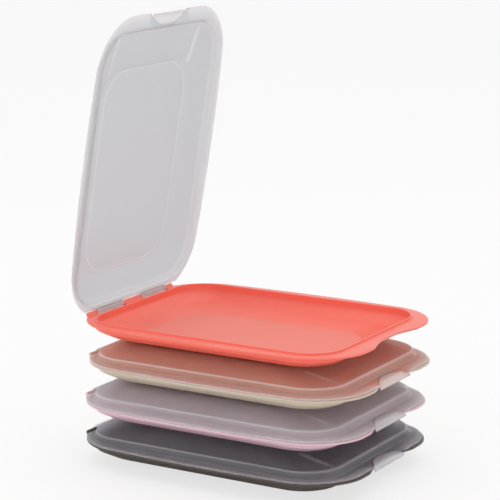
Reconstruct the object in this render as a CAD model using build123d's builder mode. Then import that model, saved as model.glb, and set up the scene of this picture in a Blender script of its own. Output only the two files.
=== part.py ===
from build123d import *
import os
from collections import namedtuple
from math import atan2, cos, radians, sin, sqrt, tan

# A stack of four shallow food boxes, each a coloured tray with a clear domed lid hinged at its back.
# Millimetres. x runs forward from the middle of the box to the finger notch, y across the box, and z
# up. One tray and one lid are modelled, each from the underside of its own box, then placed in turn.

# Flange round the tray
box_length = 246.0
box_width = 185.0
side_bow_radius = 1200.0
flange_corner = 43.0
flange_thickness = 1.5

# Raised rim and wall of the tray, set in from the edge of the flange
rear_ledge = 10.3
front_ledge = 15.9
side_ledge = 10.9
rim_corner = 29.0
rim_height = 1.5
wall = 1.8

# Bowl of the tray: an upright wall, a steep slope and a shallow slope down to the floor
tray_height = 18.3
inner_wall_depth = 4.7
inner_crease_depth = 11.1
crease_inset = 9.3
rear_slope = 22.4
front_slope = 30.8
side_slope = 27.0
shoulder_thickness = 1.6
crease_thickness = 1.1
floor_thickness = 1.2

# Foot ring under the tray
foot_height = 1.0
foot_rib = 2.0
foot_front_setback = 4.5

# Finger notch in the front of the flange
notch_depth = 6.8
notch_bottom = 14.0
notch_margin = 6.2
notch_ease = 5.6

# Hinge: barrels and thin pins on the tray, clips on the lid
barrel_radius = 2.5
axis_height = 0.7
pin_radius = 1.4
pin_clearance = 0.08
clip_wall = 1.2
clip_length = 36.5
clip_mouth = 2.3
clip_mouth_angle = 225.0
clip_side_gap = 0.5
centre_barrel = 25.0
outer_barrel = 17.0
barrel_clearance = 0.5
clip_pocket = 8.0

# Lid: flange, step over the rim, dome, recess for the foot of the next box
lid_gap = 0.1
lid_thickness = 1.2
lid_front_setback = 1.9
rim_clearance = 0.3
hollow_draft = 0.5
step_wall = 1.1
step_height = 6.8
step_lean = 1.8
plateau_height = 15.0
dome_side = 21.0
dome_rear = 19.2
dome_front = 32.2
dome_shares = [(0.5, 0.75, 0.64), (1.0, 1.0, 1.0)]
foot_play = 3.0
recess_depth = 0.8

# Apron that keeps the front of the dome straight across, out to a crease at each side
apron_half_width = 57.0
apron_top_drop = 1.1
apron_lip = 1.2

# Latch tongue, cut free of the lid's flange by an arc-shaped slot
tongue_half_width = 25.5
tongue_depth = 10.6
tongue_slot = 0.8
tongue_bridge = 9.0
tongue_flat = 6.1
tongue_drop = 3.2
tongue_tip_thickening = 0.25
tongue_clearance = 0.5

# The stack, from the table up: how far each box has shifted in the recess below, as a share of the
# play there, forward and across, and how far its lid stands open, in degrees
colours = ["taupe", "pink", "cream", "coral"]
shifts = [(0.0, 0.0), (0.57, -0.67), (0.83, 0.67), (-0.63, 0.0)]
opening_angles = [0.0, 0.0, 0.0, 80.16]

# Worked out from the sizes above
half_length = box_length / 2
half_width = box_width / 2
hinge_x = -half_length + barrel_radius
lid_rear_x = hinge_x + barrel_radius + barrel_clearance
lid_front_x = half_length - lid_front_setback
gap_inner = centre_barrel / 2
gap_outer = gap_inner + clip_length + 2 * clip_side_gap
clip_bore = pin_radius + pin_clearance
clip_radius = clip_bore + clip_wall
clip_mouth_x = clip_radius * cos(radians(clip_mouth_angle))
clip_mouth_z = clip_radius * sin(radians(clip_mouth_angle))
gap_width = gap_outer - gap_inner
gap_middle = (gap_outer + gap_inner) / 2
barrel_middle = gap_outer + outer_barrel / 2
hinge_z = tray_height + axis_height
web_length = rear_ledge - barrel_radius + wall
web_middle = hinge_x + web_length / 2
tongue_root = lid_front_x - tongue_depth
tongue_bend = tongue_root + tongue_flat
tongue_radius = (tongue_half_width**2 + tongue_depth**2) / (2 * tongue_depth)
tongue_centre = tongue_root + tongue_radius
pitch = tray_height + plateau_height - recess_depth
side_droop = side_bow_radius - sqrt(side_bow_radius**2 - half_length**2)
front_flat = half_width - side_droop - flange_corner

# A level is a rounded oblong at a height, from x = -rear to x = front
Level = namedtuple("Level", "height rear front half corner")


def inset(level, height, rear, front, half):
    """The level at a new height, drawn in by so much at the back, front and sides."""
    return Level(height, level.rear - rear, level.front - front, level.half - half, level.corner)


def grown(level, height, out):
    """The level at a new height, grown outward alike all round, its corners with it."""
    return inset(level, height, -out, -out, -out)._replace(corner=level.corner + out)


class Oblong(BaseSketchObject):
    """Rounded oblong whose long sides may bow outward as arcs."""

    def __init__(self, rear, front, half, corner, bow_radius=None, mode=Mode.ADD):
        middle = (front - rear) / 2
        reach = (front + rear) / 2
        droop = bow_radius - sqrt(bow_radius**2 - reach**2) if bow_radius else 0
        end = half - droop
        with BuildSketch() as outline:
            with BuildLine():
                Line((-rear, end), (-rear, -end))
                Line((front, -end), (front, end))
                for side in (1, -1):
                    if bow_radius:
                        ThreePointArc((-rear, side * end), (middle, side * half), (front, side * end))
                    else:
                        Line((-rear, side * end), (front, side * end))
            make_face()
            fillet(outline.vertices(), corner)
        super().__init__(obj=outline.sketch, mode=mode)


class Flared(BasePartObject):
    """Solid through a series of levels, with flat sides and ruled corners from each to the next."""

    def __init__(self, *levels, mode=Mode.ADD):
        outlines = []
        for level in levels:
            with BuildSketch(Plane.XY.offset(level.height)) as outline:
                Oblong(level.rear, level.front, level.half, level.corner)
            outlines.append(outline.sketch.face())
        skin = [outlines[0], outlines[-1]]
        for low, high in zip(outlines, outlines[1:]):
            pairs = zip(low.outer_wire().order_edges(), high.outer_wire().order_edges())
            for below, above in pairs:
                if below.geom_type == GeomType.LINE:
                    corners = [below @ 0, below @ 1, above @ 1, above @ 0]
                    skin.append(Face(Wire.make_polygon(corners)))
                else:
                    skin.append(Face.make_surface_from_curves(below, above))
        super().__init__(part=Solid(Shell(skin)), mode=mode)


class Upright(BasePartObject):
    """Upright solid from a level to a height."""

    def __init__(self, level, top, mode=Mode.ADD):
        with BuildPart() as body:
            with BuildSketch(Plane.XY.offset(level.height)):
                Oblong(level.rear, level.front, level.half, level.corner)
            extrude(amount=top - level.height)
        super().__init__(part=body.part, mode=mode)


class Notch(BaseSketchObject):
    """Finger notch in the front edge, drawn in by a clearance."""

    def __init__(self, clearance=0.0, mode=Mode.ADD):
        mouth = front_flat - notch_margin
        turn = atan2(notch_depth, mouth - notch_bottom)
        ease_radius = notch_ease / tan(turn / 2)
        bottom_x = half_length - notch_depth + clearance
        shift = clearance / sin(turn) - clearance / tan(turn)
        slope = (mouth - notch_bottom) / notch_depth
        beyond = notch_depth
        far = mouth - shift + slope * beyond
        with BuildSketch() as outline:
            with BuildLine():
                Polyline(
                    (half_length + beyond, far),
                    (bottom_x, notch_bottom - shift),
                    (bottom_x, shift - notch_bottom),
                    (half_length + beyond, -far),
                    close=True,
                )
            make_face()
            fillet(outline.vertices().group_by(Axis.X)[0], ease_radius)
        super().__init__(obj=outline.sketch, mode=mode)


# Levels of the tray, from the rim down the inside to the floor, then down the outside to the foot
rim = Level(
    tray_height + rim_height,
    half_length - rear_ledge,
    half_length - front_ledge,
    half_width - side_ledge,
    rim_corner,
)
inside = grown(rim, rim.height, -wall)
inner_foot = inside._replace(height=tray_height - inner_wall_depth)
inner_crease = inset(inside, tray_height - inner_crease_depth, crease_inset, crease_inset, crease_inset)
floor = inset(inside, foot_height + floor_thickness, rear_slope, front_slope, side_slope)
shoulder = rim._replace(height=inner_foot.height - shoulder_thickness)
outer_crease = grown(inner_crease, inner_crease.height - crease_thickness, wall)
underside = grown(floor, foot_height, wall)
foot = inset(floor, 0, 0, foot_front_setback, 0)

# The tray
with BuildPart() as tray:
    # Flange with bowed sides, the finger notch, and open pockets at the back for the lid's clips
    with BuildSketch(Plane.XY.offset(tray_height - flange_thickness)):
        Oblong(half_length, half_length, half_width, flange_corner, side_bow_radius)
        Notch(mode=Mode.SUBTRACT)
        with Locations((-half_length, gap_middle), (-half_length, -gap_middle)):
            Rectangle(2 * clip_pocket, gap_width, mode=Mode.SUBTRACT)
    extrude(amount=flange_thickness)

    # Bowl, raised rim and foot
    Flared(underside, outer_crease, shoulder)
    Upright(shoulder, rim.height)
    with BuildSketch():
        Oblong(foot.rear, foot.front, foot.half, foot.corner)
        offset(amount=-foot_rib, mode=Mode.SUBTRACT)
    extrude(amount=foot_height)
    Flared(floor, inner_crease, inner_foot, mode=Mode.SUBTRACT)
    Upright(inner_foot, rim.height, mode=Mode.SUBTRACT)

    # Webs that carry the outer barrels, then the barrels and one thin pin right through
    with BuildSketch(Plane.XY.offset(tray_height - flange_thickness)):
        with Locations((web_middle, barrel_middle), (web_middle, -barrel_middle)):
            Rectangle(web_length, outer_barrel)
    extrude(amount=flange_thickness)
    barrels = [(0, centre_barrel), (barrel_middle, outer_barrel), (-barrel_middle, outer_barrel)]
    for middle, length in barrels:
        with BuildSketch(Plane.XZ.offset(middle)):
            with Locations((hinge_x, hinge_z)):
                Circle(barrel_radius)
        extrude(amount=length / 2, both=True)
    with BuildSketch(Plane.XZ):
        with Locations((hinge_x, hinge_z)):
            Circle(pin_radius)
    extrude(amount=barrel_middle, both=True)

# Levels of the lid, as it lies on its tray
lid_z = tray_height + lid_gap
hollow_lean = step_lean + hollow_draft
step_foot = grown(rim, lid_z + lid_thickness, rim_clearance + step_wall)
step_top = inset(step_foot, tray_height + step_height, step_lean, step_lean, step_lean)
dome = [step_top]
for inward, forward, upward in dome_shares:
    height = step_top.height + upward * (plateau_height - step_height)
    dome.append(inset(step_top, height, inward * dome_rear, forward * dome_front, inward * dome_side))
plateau = dome[-1]
recess = inset(foot, pitch, -foot_play, -foot_play, -foot_play)
hollow = [grown(level, level.height - lid_thickness, -step_wall) for level in dome]
hollow_foot = inset(hollow[0], tray_height, -hollow_lean, -hollow_lean, -hollow_lean)
pad = grown(recess, pitch - lid_thickness, step_wall)


# The hollow under the lid
with BuildPart() as lid_hollow:
    Flared(hollow_foot, *hollow)
    Upright(pad, pad.height + plateau_height, mode=Mode.SUBTRACT)

# The latch tongue: flat beside the flange, then bent down into the finger notch
with BuildPart() as tongue:
    with BuildSketch(Plane.XZ):
        with BuildLine():
            Polyline(
                (tongue_root - tongue_bridge, lid_z),
                (tongue_root - tongue_bridge, lid_z + lid_thickness),
                (tongue_bend, lid_z + lid_thickness),
                (lid_front_x, lid_z + lid_thickness - tongue_drop),
                (lid_front_x, lid_z - tongue_drop - tongue_tip_thickening),
                (tongue_bend, lid_z),
                close=True,
            )
        make_face()
    extrude(amount=tongue_half_width, both=True)
    with BuildSketch(Plane.XY.offset(tray_height - 2 * tongue_drop)):
        with Locations((tongue_centre, 0)):
            Circle(tongue_radius - tongue_slot / 2)
        with Locations((tongue_root, 0)):
            Rectangle(2 * tongue_slot, 2 * tongue_bridge)
    extrude(amount=4 * tongue_drop, mode=Mode.INTERSECT)
    with BuildSketch(Plane.XY.offset(tray_height - 2 * tongue_drop)):
        Rectangle(2 * box_length, box_width)
        Notch(tongue_clearance, mode=Mode.SUBTRACT)
    extrude(amount=2 * tongue_drop + lid_gap / 2, mode=Mode.SUBTRACT)

# The lid
with BuildPart() as lid:
    # Flange, straight along the front and cut straight behind, clear of the barrels
    with BuildSketch(Plane.XY.offset(lid_z)):
        Oblong(half_length, lid_front_x, half_width, flange_corner, side_bow_radius)
        with Locations((lid_rear_x, 0)):
            Rectangle(box_length, box_width, align=(Align.MAX, Align.CENTER), mode=Mode.SUBTRACT)
        with Locations((tongue_centre, 0)):
            Circle(tongue_radius + tongue_slot / 2, mode=Mode.SUBTRACT)
    extrude(amount=lid_thickness)

    # Step, dome and apron over the rim, then the recess and the hollow
    Upright(step_foot._replace(height=lid_z), step_foot.height)
    Flared(step_foot, *dome)
    with BuildSketch(Plane.XZ):
        Polygon(
            (recess.front, step_foot.height),
            (recess.front, plateau.height - apron_top_drop),
            (step_top.front - apron_lip, step_top.height),
            (step_top.front - apron_lip, step_foot.height),
            align=None,
        )
    extrude(amount=apron_half_width, both=True)
    Upright(recess, recess.height + plateau_height, mode=Mode.SUBTRACT)
    add(lid_hollow.part, mode=Mode.SUBTRACT)
    add(tongue.part)

    # Clips that snap over the pins of the tray, each open at its mouth
    for middle in (gap_middle, -gap_middle):
        with BuildSketch(Plane.XZ.offset(middle)):
            with Locations((hinge_x, hinge_z)):
                Circle(clip_radius)
            with Locations((hinge_x, lid_z)):
                Rectangle(lid_rear_x - hinge_x, lid_thickness, align=(Align.MIN, Align.MIN))
            with Locations((hinge_x, hinge_z)):
                Circle(clip_bore, mode=Mode.SUBTRACT)
            with Locations((hinge_x + clip_mouth_x, hinge_z + clip_mouth_z)):
                Rectangle(2 * clip_radius, clip_mouth, rotation=clip_mouth_angle, mode=Mode.SUBTRACT)
        extrude(amount=clip_length / 2, both=True)

# The four boxes, each standing in the recess of the lid below
os.makedirs("parts", exist_ok=True)
box_x, box_y = 0, 0
for number, (colour, shift, angle) in enumerate(zip(colours, shifts, opening_angles)):
    box_x += shift[0] * foot_play
    box_y += shift[1] * foot_play
    place = Location((box_x, box_y, number * pitch))
    swing = Location((hinge_x, 0, hinge_z)) * Rotation(0, -angle, 0) * Location((-hinge_x, 0, -hinge_z))
    with BuildPart() as placed_tray:
        with Locations(place):
            add(tray.part)
    placed_tray.part.label = colour + "_tray"
    export_step(placed_tray.part, "parts/" + colour + "_tray.step")
    with BuildPart() as placed_lid:
        with Locations(place * swing):
            add(lid.part)
    placed_lid.part.label = colour + "_lid"
    export_step(placed_lid.part, "parts/" + colour + "_lid.step")
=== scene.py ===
from collections import namedtuple
from math import cos, radians, sin, sqrt, tan

import bmesh
import bpy
from mathutils import Matrix, Vector


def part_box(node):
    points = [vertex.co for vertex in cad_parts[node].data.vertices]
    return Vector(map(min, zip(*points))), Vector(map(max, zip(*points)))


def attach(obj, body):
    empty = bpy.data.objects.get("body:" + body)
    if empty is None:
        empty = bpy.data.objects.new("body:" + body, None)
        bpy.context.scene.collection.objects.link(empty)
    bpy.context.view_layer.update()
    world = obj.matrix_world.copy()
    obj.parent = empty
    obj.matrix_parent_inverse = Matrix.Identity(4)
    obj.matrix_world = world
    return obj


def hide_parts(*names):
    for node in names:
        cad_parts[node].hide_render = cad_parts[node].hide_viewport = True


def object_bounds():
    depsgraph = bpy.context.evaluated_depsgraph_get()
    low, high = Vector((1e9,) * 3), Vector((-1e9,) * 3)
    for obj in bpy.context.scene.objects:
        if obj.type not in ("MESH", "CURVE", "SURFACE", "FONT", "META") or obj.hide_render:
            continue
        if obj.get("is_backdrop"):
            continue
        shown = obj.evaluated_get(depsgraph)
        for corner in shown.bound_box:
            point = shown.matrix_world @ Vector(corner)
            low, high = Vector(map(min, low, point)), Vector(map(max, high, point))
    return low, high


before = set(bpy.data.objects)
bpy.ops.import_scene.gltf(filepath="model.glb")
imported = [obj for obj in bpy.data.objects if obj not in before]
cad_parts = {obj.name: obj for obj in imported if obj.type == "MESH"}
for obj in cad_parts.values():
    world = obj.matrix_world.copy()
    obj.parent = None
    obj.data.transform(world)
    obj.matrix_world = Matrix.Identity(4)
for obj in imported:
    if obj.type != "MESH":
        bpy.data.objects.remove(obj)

cad_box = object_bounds()


# The four trays are polypropylene, each moulded in one piece in its own colour: a bowl with a round
# raised rim, a thin flange that bows out at the sides, a foot, a finger notch in front and the hinge
# behind. The shape follows a rule, a line of levels, each of them a rounded oblong at its height.

# A level has its reach to the rear, the front and each side, its corners' radius, its share of the
# side bow, its depth under a lid's apron and the strength of the painted highlight along its edge
Level = namedtuple("Level", "height rear front half corner bow under edge", defaults=(0.0,))
no_apron = 1.0
flange_reach = 0.123
flange_half = 0.0925
flange_corner = 0.043
flange_low = 0.0168
flange_high = 0.0183
bow_radius = 1.2
rim_wall_foot = 0.012
bowl_wall_foot = 0.0136
floor_height = 0.0022
foot_height = 0.001


def tray_level(height, rear, front, half, corner, bow=0.0):
    """A level of the tray: its height, its reach back, forward and to each side, and its corners."""
    return Level(height, rear, front, half, corner, bow, no_apron)


def blend_levels(a, b, share):
    """The level that lies at a share of the way from one to another."""
    return Level(*(p + (q - p) * share for p, q in zip(a, b)))


def spine(level):
    """The level shrunk to a line along its middle, which closes the sheet there."""
    reach = level.half
    return level._replace(rear=level.rear - reach, front=level.front - reach, half=0.0, corner=0.0)


def eased(line, steps=4, most=0.48):
    """The levels of a line of pairs, each with its edge rounded off from its own reach before it.

    A rounding takes at most a share of the way to the next level. An edge whose painted highlight is
    above 1 is painted white along its rounding only.
    """
    levels = [line[0][0]]
    for (before, _), (here, reach), (after, _) in zip(line, line[1:], line[2:]):
        if not reach:
            levels.append(here)
            continue
        span_in = max(abs(before.half - here.half), abs(before.height - here.height))
        span_out = max(abs(after.half - here.half), abs(after.height - here.height))
        start = blend_levels(here, before, min(most, reach / span_in))
        end = blend_levels(here, after, min(most, reach / span_out))
        if here.edge > 1.0:
            start = start._replace(edge=0.0)
            end = end._replace(edge=0.0)
        for i in range(steps + 1):
            share = i / steps
            coming = blend_levels(start, here, share)
            going = blend_levels(here, end, share)
            levels.append(blend_levels(coming, going, share))
    return levels + [line[-1][0]]


def level_mesh(name, levels):
    """A mesh of one vertex for each level, which carries the level's sizes as attributes."""
    mesh = bpy.data.meshes.new(name)
    mesh.from_pydata([(0, 0, level.height) for level in levels], [], [])
    for field in Level._fields:
        values = mesh.attributes.new(field, "FLOAT", "POINT")
        values.data.foreach_set("value", [getattr(level, field) for level in levels])
    return mesh


class Tree:
    """A Geometry Nodes tree under construction, with its inputs by name."""

    def __init__(self, name, **inputs):
        self.tree = bpy.data.node_groups.new(name, "GeometryNodeTree")
        interface = self.tree.interface
        interface.new_socket("Geometry", in_out="INPUT", socket_type="NodeSocketGeometry")
        interface.new_socket("Geometry", in_out="OUTPUT", socket_type="NodeSocketGeometry")
        self.keys = {}
        for label, kind in inputs.items():
            socket = interface.new_socket(label, in_out="INPUT", socket_type="NodeSocket" + kind)
            self.keys[label] = socket.identifier
        self.inputs = self.tree.nodes.new("NodeGroupInput").outputs
        self.result = self.tree.nodes.new("NodeGroupOutput").inputs["Geometry"]

    def node(self, kind, sockets=(), **settings):
        """A new node, its settings made and its sockets linked or given a value."""
        node = self.tree.nodes.new(kind)
        for name, value in settings.items():
            setattr(node, name, value)
        for key, value in dict(sockets).items():
            if isinstance(value, bpy.types.NodeSocket):
                self.tree.links.new(value, node.inputs[key])
            else:
                node.inputs[key].default_value = value
        return node

    def math(self, operation, *values):
        """The result of one sum on fields or numbers."""
        return self.node("ShaderNodeMath", enumerate(values), operation=operation).outputs[0]

    def finish(self, geometry):
        """Realizes the instances, gives them the finish and ends the tree."""
        real = self.node("GeometryNodeRealizeInstances", {"Geometry": geometry})
        done = self.node("GeometryNodeSetMaterial",
                         {"Geometry": real.outputs["Geometry"], "Material": self.inputs["Finish"]})
        self.tree.links.new(done.outputs["Geometry"], self.result)

    def run(self, mesh, **values):
        """A plain mesh made by the tree from a mesh and its input values."""
        source = bpy.data.objects.new(mesh.name, mesh)
        bpy.context.scene.collection.objects.link(source)
        modifier = source.modifiers.new(self.tree.name, "NODES")
        modifier.node_group = self.tree
        for label, value in values.items():
            modifier[self.keys[label]] = value
        seen = source.evaluated_get(bpy.context.evaluated_depsgraph_get())
        made = bpy.data.meshes.new_from_object(seen)
        bpy.data.objects.remove(source)
        return made


def shell_tree():
    """The tree that turns a line of levels into a closed shell of rounded oblongs."""
    tree = Tree("moulded shell", CornerSteps="Int", SideSteps="Int", RearEdge="Float",
                BowRadius="Float", ApronHalf="Float", ApronFall="Float", ApronRear="Vector",
                ApronFront="Vector", CreaseWidth="Float", Cutter="Object", Finish="Material")
    given = tree.inputs
    math = tree.math
    quarter_turn = radians(90)
    least_half = 0.001
    least_rise = 1e-5
    weld_distance = 2e-6

    # Half a step is added before a division, so that no point falls into the column before its own
    half_step = 0.5
    index = tree.node("GeometryNodeInputIndex").outputs["Index"]
    line = given["Geometry"]
    sizes = tree.node("GeometryNodeAttributeDomainSize", {"Geometry": line})
    count = sizes.outputs["Point Count"]
    column = math("FLOOR", math("DIVIDE", math("ADD", index, half_step), count))
    level = math("SUBTRACT", index, math("MULTIPLY", column, count))

    def size(field):
        """A size of the level that a point is on."""
        named = tree.node("GeometryNodeInputNamedAttribute", {"Name": field}, data_type="FLOAT")
        sockets = {"Geometry": line, "Value": named.outputs["Attribute"], "Index": level}
        return tree.node("GeometryNodeSampleIndex", sockets, data_type="FLOAT").outputs["Value"]

    # Once round the oblong: each quarter is a corner's arc and then a straight run to the next one
    quarter_steps = math("ADD", given["CornerSteps"], given["SideSteps"])
    quarter = math("FLOOR", math("DIVIDE", math("ADD", column, half_step), quarter_steps))
    step = math("SUBTRACT", column, math("MULTIPLY", quarter, quarter_steps))
    turn = math("MINIMUM", math("DIVIDE", step, math("SUBTRACT", given["CornerSteps"], 1.0)), 1.0)
    past_arc = math("SUBTRACT", math("ADD", step, 1.0), given["CornerSteps"])
    run = math("MAXIMUM", math("DIVIDE", past_arc, math("ADD", given["SideSteps"], 1.0)), 0.0)
    bearing = math("MULTIPLY", math("ADD", quarter, turn), quarter_turn)
    corner = size("corner")
    middles = []
    for ahead in (0.5, 1.5):
        towards = math("MULTIPLY", math("ADD", quarter, ahead), quarter_turn)
        forward = math("SIGN", math("COSINE", towards))
        across = math("SIGN", math("SINE", towards))
        in_front = math("MULTIPLY", math("ADD", forward, 1.0), 0.5)
        reach = math("ADD", math("MULTIPLY", size("front"), in_front),
                     math("MULTIPLY", size("rear"), math("SUBTRACT", 1.0, in_front)))
        middles.append((math("MULTIPLY", forward, math("SUBTRACT", reach, corner)),
                        math("MULTIPLY", across, math("SUBTRACT", size("half"), corner))))
    place = []
    for axis, wave in enumerate(("COSINE", "SINE")):
        middle = math("ADD", math("MULTIPLY", middles[0][axis], math("SUBTRACT", 1.0, run)),
                      math("MULTIPLY", middles[1][axis], run))
        place.append(math("ADD", middle, math("MULTIPLY", corner, math(wave, bearing))))
    x = math("MAXIMUM", place[0], given["RearEdge"])

    # The flange's sides bow out in an arc, so they fall in towards the ends
    radius = given["BowRadius"]
    beyond = math("SUBTRACT", math("MULTIPLY", radius, radius), math("MULTIPLY", place[0], place[0]))
    droop = math("MULTIPLY", math("SUBTRACT", radius, math("SQRT", beyond)), size("bow"))
    share = math("DIVIDE", place[1], math("MAXIMUM", size("half"), least_half))
    y = math("SUBTRACT", place[1], math("MULTIPLY", droop, share))

    # A lid's apron keeps the front of its dome straight across, between two creases
    rear = tree.node("ShaderNodeSeparateXYZ", {"Vector": given["ApronRear"]}).outputs
    front = tree.node("ShaderNodeSeparateXYZ", {"Vector": given["ApronFront"]}).outputs
    along = math("DIVIDE", math("SUBTRACT", x, rear["X"]), math("SUBTRACT", front["X"], rear["X"]))
    fall = math("MULTIPLY", along, math("SUBTRACT", rear["Z"], front["Z"]))
    off_middle = math("ABSOLUTE", y)
    beside = math("MAXIMUM", math("SUBTRACT", off_middle, given["ApronHalf"]), 0.0)
    slope = math("SUBTRACT", math("SUBTRACT", rear["Z"], fall),
                 math("MULTIPLY", beside, given["ApronFall"]))
    behind = math("LESS_THAN", x, rear["X"])
    apron = math("SUBTRACT", math("SUBTRACT", slope, size("under")), behind)
    z = math("MAXIMUM", size("height"), apron)
    # Along each of the apron's creases a painted highlight line is stored in the edge attribute
    off_crease = math("ABSOLUTE", math("SUBTRACT", off_middle, given["ApronHalf"]))
    crease = math("SUBTRACT", 1.0, math("DIVIDE", off_crease, given["CreaseWidth"]))
    raised = math("GREATER_THAN", math("SUBTRACT", z, size("height")), least_rise)
    edge = math("MAXIMUM", size("edge"), math("MULTIPLY", crease, raised))

    columns = math("ADD", math("MULTIPLY", quarter_steps, 4.0), 1.0)
    sheet = tree.node("GeometryNodeMeshGrid", {"Vertices X": columns, "Vertices Y": count})
    position = tree.node("ShaderNodeCombineXYZ", {"X": x, "Y": y, "Z": z}).outputs["Vector"]
    shaped = tree.node("GeometryNodeSetPosition",
                       {"Geometry": sheet.outputs["Mesh"], "Position": position})
    marked = tree.node("GeometryNodeStoreNamedAttribute", {
        "Geometry": shaped.outputs["Geometry"], "Name": "edge", "Value": edge,
    }, data_type="FLOAT", domain="POINT")
    closed = tree.node("GeometryNodeMergeByDistance",
                       {"Geometry": marked.outputs["Geometry"], "Distance": weld_distance})

    # What is cut away comes from a closed mesh
    cutter = tree.node("GeometryNodeObjectInfo", {"Object": given["Cutter"]},
                       transform_space="ORIGINAL")
    cut = tree.node("GeometryNodeMeshBoolean", operation="DIFFERENCE", solver="MANIFOLD")
    tree.tree.links.new(closed.outputs["Geometry"], cut.inputs["Mesh 1"])
    tree.tree.links.new(cutter.outputs["Geometry"], cut.inputs["Mesh 2"])
    tree.finish(cut.outputs["Mesh"])
    return tree


def closed_mesh(name, *stacks, edge=0.0):
    """A mesh of closed bodies, each through its own stack of rings, capped at both ends."""
    work = bmesh.new()
    for rings in stacks:
        loops = [[work.verts.new(point) for point in ring] for ring in rings]
        for near, far in zip(loops, loops[1:]):
            for i in range(len(near)):
                j = (i + 1) % len(near)
                work.faces.new((near[i], near[j], far[j], far[i]))
        work.faces.new(loops[0][::-1])
        work.faces.new(loops[-1])
    bmesh.ops.recalc_face_normals(work, faces=work.faces)
    mesh = bpy.data.meshes.new(name)
    work.to_mesh(mesh)
    work.free()
    # Every vertex carries the same strength of painted highlight
    marked = mesh.attributes.new("edge", "FLOAT", "POINT")
    marked.data.foreach_set("value", [edge] * len(mesh.vertices))
    return mesh


def cutting_object(name, *stacks):
    """An object that only serves to cut, made of closed bodies."""
    cutter = bpy.data.objects.new(name, closed_mesh(name, *stacks))
    bpy.context.scene.collection.objects.link(cutter)
    return cutter


def one_piece(name, meshes, place, finish, speck=1e-6, crisp_angle=radians(32)):
    """An object of several meshes in one, moved to its place, with smooth faces and crisp edges."""
    work = bmesh.new()
    for mesh in meshes:
        work.from_mesh(mesh)
    bmesh.ops.dissolve_degenerate(work, dist=speck, edges=work.edges)
    work.transform(place)
    for face in work.faces:
        face.material_index = 0
        face.smooth = True
    mesh = bpy.data.meshes.new(name)
    work.to_mesh(mesh)
    work.free()
    mesh.set_sharp_from_angle(angle=crisp_angle)
    mesh.materials.append(finish)
    piece = bpy.data.objects.new(name, mesh)
    bpy.context.scene.collection.objects.link(piece)
    return piece


def box_place(colour):
    """The middle of a box's flange outline, at the height of its foot."""
    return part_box(colour + "_tray")[0] + Vector((flange_reach, flange_half, 0))


rim = tray_level(0.0198, 0.1127, 0.1071, 0.0816, 0.029)
inside = tray_level(0.0198, 0.1109, 0.1053, 0.0798, 0.0272)
inner_crease = tray_level(0.0072, 0.1016, 0.0960, 0.0705, 0.0272)
outer_crease = tray_level(0.0061, 0.1034, 0.0978, 0.0723, 0.029)
bowl_floor = tray_level(floor_height, 0.0885, 0.0745, 0.0528, 0.0272)
underside = tray_level(foot_height, 0.0903, 0.0763, 0.0546, 0.029)
foot = tray_level(0.0, 0.0885, 0.0700, 0.0528, 0.0272)
foot_inside = tray_level(0.0, 0.0865, 0.0680, 0.0508, 0.0252)
flange = tray_level(flange_high, flange_reach, flange_reach, flange_half, flange_corner, bow=1.0)

# From the middle of the underside out to the flange and over the rim to the middle of the floor,
# each level with the reach of its rounding
tray_line = [
    (spine(foot_inside._replace(height=foot_height)), 0.0),
    (foot_inside._replace(height=foot_height), 0.0003),
    (foot_inside, 0.0004),
    (foot, 0.0004),
    (foot._replace(height=foot_height), 0.0003),
    (underside, 0.0012),
    (outer_crease, 0.0015),
    (rim._replace(height=rim_wall_foot), 0.0012),
    (rim._replace(height=flange_low), 0.0005),
    (flange._replace(height=flange_low), 0.0005),
    (flange, 0.0006),
    (rim._replace(height=flange_high), 0.0005),
    (rim, 0.0008),
    (inside, 0.0008),
    (inside._replace(height=bowl_wall_foot), 0.0014),
    (inner_crease, 0.0016),
    (bowl_floor, 0.0018),
    (spine(bowl_floor), 0.0),
]

notch_bottom = flange_reach - 0.0068
notch_flat = 0.0084
notch_ease = 0.0387
notch_turn = radians(16.5)
notch_beyond = 0.014


def notch_line(steps=8):
    """One half of the finger notch: flat, eased into a slope that runs out in front."""
    points = []
    for i in range(steps + 1):
        angle = notch_turn * i / steps
        points.append((notch_bottom + notch_ease * (1 - cos(angle)),
                       notch_flat + notch_ease * sin(angle)))
    x, y = points[-1]
    points.append((x + notch_beyond, y + notch_beyond / tan(notch_turn)))
    return points


def notch_half(x):
    """Half the width of the finger notch at a place along the box."""
    points = notch_line()
    for (x0, y0), (x1, y1) in zip(points, points[1:]):
        if x <= x1:
            return y0 + (y1 - y0) * max(0.0, x - x0) / (x1 - x0)
    return points[-1][1]


def notch_ring(z):
    """The outline of the finger notch at a height."""
    points = notch_line()
    return [(x, -y, z) for x, y in points] + [(x, y, z) for x, y in reversed(points)]


clip_gap = (0.0125, 0.05)
pocket_rear = -0.13
pocket_front = -0.115


def pocket_ring(z, side):
    """The outline of the gap in the flange for one of the lid's clips."""
    inner, outer = side * clip_gap[0], side * clip_gap[1]
    return [(pocket_rear, inner, z), (pocket_front, inner, z),
            (pocket_front, outer, z), (pocket_rear, outer, z)]


hinge = Vector((-0.1205, 0.0, 0.019))
pin_half = 0.058
pin_radius = 0.0014
knuckle_end = 0.061
knuckle_radius = 0.0017
knuckle_root = Vector((-0.1180, 0.0, 0.0173))
knuckle_root_radius = 0.0010


def pin_rings(rounding=0.0003, around=40):
    """The rings of the pin along the hinge's line, its ends slightly rounded."""
    rings = []
    for y, r in ((-pin_half, pin_radius - rounding), (rounding - pin_half, pin_radius),
                 (pin_half - rounding, pin_radius), (pin_half, pin_radius - rounding)):
        turns = [radians(360) * i / around for i in range(around)]
        rings.append([(hinge.x + r * cos(t), y, hinge.z + r * sin(t)) for t in turns])
    return rings


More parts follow.
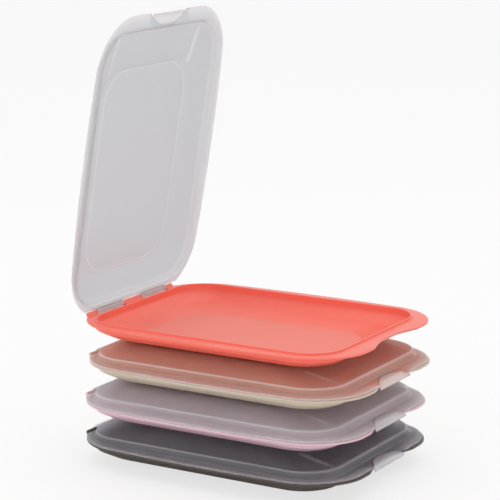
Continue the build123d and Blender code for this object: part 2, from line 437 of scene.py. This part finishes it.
def knuckle(y0, y1, rounding=0.0005, around=20):
    """The rings of a low bar from over the pin forward to the edge of the flange."""
    rings = []
    rounds = ((knuckle_root, knuckle_root_radius, -90), (hinge, knuckle_radius, 90))
    for y, less in ((y0, rounding), (y0 + rounding, 0.0), (y1 - rounding, 0.0), (y1, rounding)):
        ring = []
        for middle, full, first in rounds:
            r = full - less
            turns = [radians(first + 180 * i / around) for i in range(around + 1)]
            ring += [(middle.x + r * cos(t), y, middle.z + r * sin(t)) for t in turns]
        rings.append(ring)
    return rings


def linear(red, green, blue):
    """A colour written as it is seen, from 0 to 255, as the linear values that a shader takes."""
    seen = [c / 255 for c in (red, green, blue)]
    return [c / 12.92 if c <= 0.04045 else ((c + 0.055) / 1.055) ** 2.4 for c in seen] + [1.0]


def new_material(name):
    """An empty node material, with its nodes, its links and its Principled shader."""
    material = bpy.data.materials.new(name)
    material.use_nodes = True
    nodes, links = material.node_tree.nodes, material.node_tree.links
    return material, nodes, links, nodes["Principled BSDF"]


def fine_bump(nodes, links, shader, scale, strength, depth=0.0001):
    """Noise on the object's own coordinates as the bump of a shader. Returns the coordinates."""
    where = nodes.new("ShaderNodeTexCoord").outputs["Object"]
    noise = nodes.new("ShaderNodeTexNoise")
    noise.inputs["Scale"].default_value = scale
    noise.inputs["Detail"].default_value = 3.0
    bump = nodes.new("ShaderNodeBump")
    bump.inputs["Strength"].default_value = strength
    bump.inputs["Distance"].default_value = depth
    links.new(where, noise.inputs["Vector"])
    links.new(noise.outputs["Fac"], bump.inputs["Height"])
    links.new(bump.outputs["Normal"], shader.inputs["Normal"])
    return where


wall_roughness = 0.28
floor_roughness = 0.6
floor_reach = 0.0002
tray_ior = 1.49


def tray_plastic(name, colour, floor_sheen_colour, floor_z):
    """Glossy coloured plastic, more matt on the floor of the bowl, whose paler colour there is a
    painted sheen.
    """
    material, nodes, links, shader = new_material(name)
    where = fine_bump(nodes, links, shader, scale=900.0, strength=0.08)
    apart = nodes.new("ShaderNodeSeparateXYZ")
    links.new(where, apart.inputs["Vector"])
    on_floor = nodes.new("ShaderNodeMath")
    on_floor.operation = "COMPARE"
    on_floor.inputs[1].default_value = floor_z
    on_floor.inputs[2].default_value = floor_reach
    links.new(apart.outputs["Z"], on_floor.inputs[0])
    # The floor's paler colour is a painted sheen; its higher roughness is the real matt finish
    tint = nodes.new("ShaderNodeMix")
    tint.data_type = "RGBA"
    tint.inputs["A"].default_value = colour
    tint.inputs["B"].default_value = floor_sheen_colour
    links.new(on_floor.outputs["Value"], tint.inputs["Factor"])
    links.new(tint.outputs["Result"], shader.inputs["Base Color"])
    gloss = nodes.new("ShaderNodeMapRange")
    gloss.inputs["To Min"].default_value = wall_roughness
    gloss.inputs["To Max"].default_value = floor_roughness
    links.new(on_floor.outputs["Value"], gloss.inputs["Value"])
    links.new(gloss.outputs["Result"], shader.inputs["Roughness"])
    shader.inputs["IOR"].default_value = tray_ior
    return material


# The colour of each tray's walls, and the paler colour of the floor of its bowl, which is a painted
# sheen
tray_colours = {
    "taupe": (linear(80, 70, 65), linear(86, 76, 71)),
    "pink": (linear(226, 190, 203), linear(228, 194, 206)),
    "cream": (linear(208, 194, 174), linear(212, 199, 181)),
    "coral": (linear(252, 114, 95), linear(247, 136, 122)),
}
moulded_shell = shell_tree()
under_flange = 0.0160
over_flange = 0.0190
tray_cutter = cutting_object(
    "notch and pockets",
    [notch_ring(under_flange), notch_ring(over_flange)],
    [pocket_ring(under_flange, 1), pocket_ring(over_flange, 1)],
    [pocket_ring(under_flange, -1), pocket_ring(over_flange, -1)],
)

# A tray has no apron, so its inputs put one in front of the box
tray_shell = moulded_shell.run(
    level_mesh("tray levels", eased(tray_line)), CornerSteps=24, SideSteps=24, RearEdge=-1.0,
    BowRadius=bow_radius, ApronRear=(1.0, 0, 0), ApronFront=(2.0, 0, 0), CreaseWidth=0.001,
    Cutter=tray_cutter,
)
bpy.data.objects.remove(tray_cutter)
hinge_parts = closed_mesh(
    "knuckles and pin",
    knuckle(-clip_gap[0], clip_gap[0]),
    knuckle(clip_gap[1], knuckle_end),
    knuckle(-knuckle_end, -clip_gap[1]),
    pin_rings(),
)
for colour, (wall_tint, floor_sheen_tint) in tray_colours.items():
    middle = box_place(colour)
    floor_z = middle.z + floor_height
    plastic = tray_plastic(colour + " moulded plastic", wall_tint, floor_sheen_tint, floor_z)
    place = Matrix.Translation(middle)
    tray = one_piece(colour + "_moulded_tray", [tray_shell, hinge_parts], place, plastic)
    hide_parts(colour + "_tray")
    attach(tray, colour + "_box")


# The lids are uncoloured polypropylene, moulded in one and milky like ground glass: a flange, a step
# over the tray's rim, a soft dome with a sunk place for the next foot and a straight apron in front,
# a springy tongue freed by an arc-shaped slot, and two clips that snap on the tray's pins.
lid_low = 0.0184
lid_wall = 0.0012
lid_high = lid_low + lid_wall
lid_front = 0.1211
lid_rear = -0.1175
open_angle = radians(80.16)
# Strength of the painted highlight: white lines along the creases, and a whiter flange, tongue, webs
# and clips
crease_painted_highlight = 1.4
trim_painted_highlight = 0.6
sunk_floor = Level(0.0325, 0.0915, 0.0730, 0.0558, 0.0272, 0.0, no_apron)
sunk_edge = Level(0.0333, 0.0919, 0.0734, 0.0562, 0.0276, 0.0, no_apron, crease_painted_highlight)
dome_top = Level(0.0333, 0.0931, 0.0745, 0.0602, 0.0280, 0.0, 0.0)
step_top = Level(0.0251, 0.1123, 0.1067, 0.0812, 0.0304, 0.0, 0.0)
step_foot = Level(lid_high, 0.1141, 0.1085, 0.0830, 0.0304, 0.0, no_apron, crease_painted_highlight)
lid_flange = Level(lid_high, flange_reach, lid_front, flange_half, flange_corner, 1.0, no_apron,
                   trim_painted_highlight)
hollow_foot = Level(lid_low, 0.1135, 0.1079, 0.0824, 0.0298, 0.0, no_apron, crease_painted_highlight)
pad_edge = Level(0.0313, 0.0926, 0.0741, 0.0569, 0.0283, 0.0, no_apron, crease_painted_highlight)
pad = Level(0.0313, 0.0900, 0.0715, 0.0543, 0.0257, 0.0, no_apron)
pad_spine = spine(pad_edge._replace(edge=0.0))


def dome_line(depth, count=14, straight=0.35):
    """Levels from the top of the dome down to the step, a soft bulge, at a depth under its surface."""
    line = []
    for i in range(count + 1):
        rest = 1 - i / count
        rise = straight * rest + (1 - straight) * sin(radians(90) * rest)
        forward = 1 - (1 - rest) ** 2
        line.append((Level(
            step_top.height + rise * (dome_top.height - step_top.height) - depth,
            step_top.rear + rest * (dome_top.rear - step_top.rear) - depth,
            step_top.front + forward * (dome_top.front - step_top.front) - depth,
            step_top.half + rest * (dome_top.half - step_top.half) - depth,
            step_top.corner + rest * (dome_top.corner - step_top.corner) - depth,
            0.0,
            depth,
        ), 0.0))
    return line


outside = dome_line(0.0)
outside[0] = (outside[0][0], 0.0008)
outside[-1] = (outside[-1][0]._replace(edge=crease_painted_highlight), 0.0012)
hollow = dome_line(lid_wall)[2:][::-1]
hollow[0] = (hollow[0][0], 0.0010)

# From the middle of the top down to the flange and back under it to the middle of the pad
lid_line = [
    (spine(sunk_floor), 0.0),
    (sunk_floor, 0.0006),
    (sunk_edge, 0.0003),
    *outside,
    (step_foot, 0.0008),
    (lid_flange, 0.0005),
    (lid_flange._replace(height=lid_low), 0.0005),
    (hollow_foot, 0.0006),
    *hollow,
    (pad_edge, 0.0008),
    (pad, 0.0),
    (pad_spine, 0.0),
]

tongue_half = 0.0255
tongue_depth = 0.0106
tongue_slot = 0.0008
tongue_bridge = 0.009
tongue_flat = 0.0061
tongue_drop = 0.0032
tongue_curl = 1.3
tongue_clearance = 0.0012
tongue_thin = 0.0003
tongue_radius = (tongue_half ** 2 + tongue_depth ** 2) / (2 * tongue_depth)
tongue_root = lid_front - tongue_depth
tongue_middle = tongue_root + tongue_radius


def slot_ring(z, around=200):
    """The disc that frees the tongue from the flange, at a height."""
    reach = tongue_radius + tongue_slot / 2
    turns = [radians(360) * i / around for i in range(around)]
    return [(tongue_middle + reach * cos(t), reach * sin(t), z) for t in turns]


def tongue_rings(rows=28, columns=48):
    """The rings of the tongue: flat at its root, then bent down into the finger notch.

    Where the flange of the tray is still beside it, its underside stays above that flange.
    """
    start = tongue_root - tongue_slot
    rings = []
    for i in range(rows + 1):
        x = start + (lid_front - start) * i / rows
        beside = (tongue_radius - tongue_slot / 2) ** 2 - (tongue_middle - x) ** 2
        half = max(tongue_bridge, sqrt(max(beside, 0.0)))
        past = max(0.0, (x - tongue_root - tongue_flat) / (tongue_depth - tongue_flat))
        top = lid_high - tongue_drop * past ** tongue_curl
        across = [half * (2 * k / columns - 1) for k in range(columns + 1)]
        free = notch_half(x) - tongue_clearance
        least = [lid_low if abs(y) > free else 0.0 for y in across]
        ring = [(x, y, max(top, low + tongue_thin)) for y, low in zip(across, least)]
        ring += [(x, y, max(top - lid_wall, low)) for y, low in reversed(list(zip(across, least)))]
        rings.append(ring)
    return rings


clip_radius = 0.00208
clip_length = 0.0365
clip_spacing = 0.0625
clip_mouth = radians(225)
clip_mouth_half = radians(30)
web_front = lid_rear + 0.0004


def clip_tree():
    """The tree that curls one strip of plastic for each point of a line along the hinge."""
    tree = Tree("hinge clips", Radius="Float", Wall="Float", Length="Float", Finish="Material")
    given = tree.inputs
    curl = tree.node("GeometryNodeCurveArc", {
        "Resolution": 28, "Radius": given["Radius"],
        "Start Angle": clip_mouth + clip_mouth_half,
        "Sweep Angle": radians(360) - 2 * clip_mouth_half,
    })
    section = tree.node("GeometryNodeCurvePrimitiveQuadrilateral",
                        {"Width": given["Wall"], "Height": given["Length"]})
    strip = tree.node("GeometryNodeCurveToMesh", {
        "Curve": curl.outputs["Curve"], "Profile Curve": section.outputs["Curve"],
        "Fill Caps": True,
    })
    upright = tree.node("GeometryNodeTransform",
                        {"Geometry": strip.outputs["Mesh"], "Rotation": (radians(90), 0, 0)})
    placed = tree.node("GeometryNodeInstanceOnPoints",
                       {"Points": given["Geometry"], "Instance": upright.outputs["Geometry"]})
    # Each clip carries the painted highlight of the trim
    marked = tree.node("GeometryNodeStoreNamedAttribute", {
        "Geometry": placed.outputs["Instances"], "Name": "edge", "Value": trim_painted_highlight,
    }, data_type="FLOAT", domain="INSTANCE")
    tree.finish(marked.outputs["Geometry"])
    return tree


def web_rings(side):
    """The web that ties a clip to the rear edge of the lid."""
    middle = side * clip_spacing / 2
    web_rear = hinge.x + clip_radius
    corners = ((web_rear, lid_low), (web_front, lid_low), (web_front, lid_high), (web_rear, lid_high))
    ends = (middle - clip_length / 2, middle + clip_length / 2)
    return [[(x, y, z) for x, z in corners] for y in ends]


frost_roughness = 0.5
frost_ior = 1.07
frost_scatter = 0.008
coat_weight = 0.15
coat_roughness = 0.25
# Where the painted highlight lies, the lid is less clear and whiter
less_clear_at_painted_highlight = 0.4
painted_highlight_colour = linear(244, 243, 244)


def frosted_plastic(name, tint, clearness):
    """Milky plastic that blurs what is behind it and lets the lamps through, tinted with painted light
    from the trays around it, and with a painted highlight along its edges.
    """
    material, nodes, links, shader = new_material(name)
    fine_bump(nodes, links, shader, scale=300.0, strength=0.03)
    shader.inputs["Roughness"].default_value = frost_roughness
    shader.inputs["IOR"].default_value = frost_ior
    shader.inputs["Subsurface Weight"].default_value = 1.0
    shader.inputs["Subsurface Scale"].default_value = frost_scatter
    shader.inputs["Subsurface Radius"].default_value = (1.0, 1.0, 1.0)
    shader.inputs["Coat Weight"].default_value = coat_weight
    shader.inputs["Coat Roughness"].default_value = coat_roughness
    # The edge attribute says where the painted highlight lies; there the tint turns to the highlight's
    # white
    edge = nodes.new("ShaderNodeAttribute")
    edge.attribute_name = "edge"
    painted_highlight_clearness = nodes.new("ShaderNodeMapRange")
    painted_highlight_clearness.inputs["To Min"].default_value = clearness
    painted_highlight_clearness.inputs["To Max"].default_value = clearness - less_clear_at_painted_highlight
    links.new(edge.outputs["Fac"], painted_highlight_clearness.inputs["Value"])
    links.new(painted_highlight_clearness.outputs["Result"], shader.inputs["Transmission Weight"])
    painted_highlight_mix = nodes.new("ShaderNodeMix")
    painted_highlight_mix.data_type = "RGBA"
    painted_highlight_mix.inputs["A"].default_value = tint
    painted_highlight_mix.inputs["B"].default_value = painted_highlight_colour
    links.new(edge.outputs["Fac"], painted_highlight_mix.inputs["Factor"])
    links.new(painted_highlight_mix.outputs["Result"], shader.inputs["Base Color"])
    ray = nodes.new("ShaderNodeLightPath")
    clear = nodes.new("ShaderNodeBsdfTransparent")
    mix = nodes.new("ShaderNodeMixShader")
    links.new(ray.outputs["Is Shadow Ray"], mix.inputs["Fac"])
    links.new(shader.outputs["BSDF"], mix.inputs[1])
    links.new(clear.outputs["BSDF"], mix.inputs[2])
    links.new(mix.outputs["Shader"], nodes["Material Output"].inputs["Surface"])
    return material


# Each lid's tint and clearness, which stand for the light that the trays around it throw into it
lid_painted_tray_light = {
    "taupe": (linear(214, 213, 220), 0.88),
    "pink": (linear(240, 228, 236), 0.60),
    "cream": (linear(252, 192, 172), 0.48),
    "coral": (linear(208, 210, 214), 0.75),
}
under_lid = 0.0170
over_lid = 0.0210
slot_cutter = cutting_object("tongue slot", [slot_ring(under_lid), slot_ring(over_lid)])
lid_shell = moulded_shell.run(
    level_mesh("lid levels", eased(lid_line)[::-1]), CornerSteps=48, SideSteps=20,
    RearEdge=lid_rear, BowRadius=bow_radius, ApronHalf=0.057, ApronFall=0.6,
    ApronRear=(0.0730, 0, 0.0322), ApronFront=(0.1055, 0, 0.0251), CreaseWidth=0.0016,
    Cutter=slot_cutter,
)
bpy.data.objects.remove(slot_cutter)
clip_places = bpy.data.meshes.new("clip places")
clip_places.from_pydata([(hinge.x, side * clip_spacing / 2, hinge.z) for side in (-1, 1)], [], [])
clips = clip_tree().run(clip_places, Radius=clip_radius, Wall=lid_wall, Length=clip_length)
tongue_and_webs = closed_mesh(
    "tongue and webs", tongue_rings(), web_rings(-1), web_rings(1), edge=trim_painted_highlight,
)
for colour, (tint, clearness) in lid_painted_tray_light.items():
    # The tint and clearness paint in the light that the trays around each lid throw into it
    frosted = frosted_plastic("frosted plastic of the " + colour + " lid", tint, clearness)
    swing = open_angle if colour == "coral" else 0.0
    about_hinge = Matrix.Translation(hinge) @ Matrix.Rotation(-swing, 4, "Y")
    place = Matrix.Translation(box_place(colour)) @ about_hinge @ Matrix.Translation(-hinge)
    lid = one_piece(colour + "_frosted_lid", [lid_shell, clips, tongue_and_webs], place, frosted)
    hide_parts(colour + "_lid")
    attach(lid, colour + "_cover")


# The stack stands on a white table in an even white surround, with two broad weak lamps, one
# overhead and one in front. Seen directly, the surround is plain white, and so is most of the
# table, which keeps a faint shadow of the stack.
table_width = 12.0
just_under = -0.0002
table_roughness = 0.8
table_white_share = 0.7
surround_strength = 0.85
white = (1, 1, 1, 1)


def seen_directly(nodes, links):
    """One for a ray from the camera or through a lid, and otherwise nought."""
    ray = nodes.new("ShaderNodeLightPath")
    direct = nodes.new("ShaderNodeMath")
    direct.operation = "MAXIMUM"
    links.new(ray.outputs["Is Camera Ray"], direct.inputs[0])
    links.new(ray.outputs["Is Transmission Ray"], direct.inputs[1])
    return direct.outputs["Value"]


bpy.ops.mesh.primitive_plane_add(size=table_width, location=(0, 0, just_under))
table = bpy.context.object
table.name = "table"
material, nodes, links, shader = new_material("white table")
shader.inputs["Base Color"].default_value = linear(250, 250, 250)
shader.inputs["Roughness"].default_value = table_roughness
share = nodes.new("ShaderNodeMath")
share.operation = "MULTIPLY"
share.inputs[1].default_value = table_white_share
links.new(seen_directly(nodes, links), share.inputs[0])
glow = nodes.new("ShaderNodeEmission")
mix = nodes.new("ShaderNodeMixShader")
links.new(share.outputs["Value"], mix.inputs["Fac"])
links.new(shader.outputs["BSDF"], mix.inputs[1])
links.new(glow.outputs["Emission"], mix.inputs[2])
links.new(mix.outputs["Shader"], nodes["Material Output"].inputs["Surface"])
table.data.materials.append(material)
table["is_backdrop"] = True

world = bpy.data.worlds.new("studio")
bpy.context.scene.world = world
world.use_nodes = True
nodes, links = world.node_tree.nodes, world.node_tree.links
surround = nodes["Background"]
surround.inputs["Color"].default_value = white
surround.inputs["Strength"].default_value = surround_strength
backdrop = nodes.new("ShaderNodeBackground")
backdrop.inputs["Color"].default_value = white
backdrop.inputs["Strength"].default_value = 1.0
mix = nodes.new("ShaderNodeMixShader")
links.new(seen_directly(nodes, links), mix.inputs["Fac"])
links.new(surround.outputs["Background"], mix.inputs[1])
links.new(backdrop.outputs["Background"], mix.inputs[2])
links.new(mix.outputs["Shader"], nodes["World Output"].inputs["Surface"])


def soft_lamp(name, place, aim, size, power):
    """A square area lamp at a place, turned to face a point."""
    light = bpy.data.lights.new(name, "AREA")
    light.size = size
    light.energy = power
    lamp = bpy.data.objects.new(name, light)
    bpy.context.scene.collection.objects.link(lamp)
    lamp.location = place
    lamp.rotation_euler = (Vector(aim) - Vector(place)).to_track_quat("-Z", "Y").to_euler()
    return lamp


stack_middle = (0.0, 0.0, 0.1)
soft_lamp("lamp overhead", place=(0.1, 0.2, 1.7), aim=stack_middle, size=1.8, power=5.0)
soft_lamp("lamp in front", place=(-0.3, -1.5, 0.5), aim=stack_middle, size=1.2, power=2.5)

# The camera stands to the right of the hinges and a little above the flanges, far off with a long
# lens. Its place is solved from the outlines of the four flanges.
azimuth = radians(31.0)
elevation = radians(12.09)
roll = radians(-0.25)
distance = 1.6208
picture_shift = (-0.00436, 0.05364)
picture_pixels = 500.0
focal_pixels = 2051.3
sensor_width = 36.0
top_flange_middle = Vector((0.0008, 0.0, 0.1158))
back = Vector((sin(azimuth) * cos(elevation), -cos(azimuth) * cos(elevation), sin(elevation)))
level_right = Vector((cos(azimuth), sin(azimuth), 0.0))
level_up = back.cross(level_right)
right = level_right * cos(roll) + level_up * sin(roll)
up = level_up * cos(roll) - level_right * sin(roll)
camera_place = top_flange_middle + back * distance + right * picture_shift[0] + up * picture_shift[1]
camera_turn = Matrix((right, up, back)).transposed().to_4x4()
camera = bpy.data.objects.new("camera", bpy.data.cameras.new("camera"))
bpy.context.scene.collection.objects.link(camera)
camera.data.sensor_width = sensor_width
camera.data.lens = sensor_width * focal_pixels / picture_pixels
camera.matrix_world = Matrix.Translation(camera_place) @ camera_turn
bpy.context.scene.camera = camera
bpy.context.scene.view_settings.view_transform = "Standard"

boxes = {"cad": cad_box, "visual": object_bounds()}
{key: [list(corner) for corner in value] for key, value in boxes.items()}
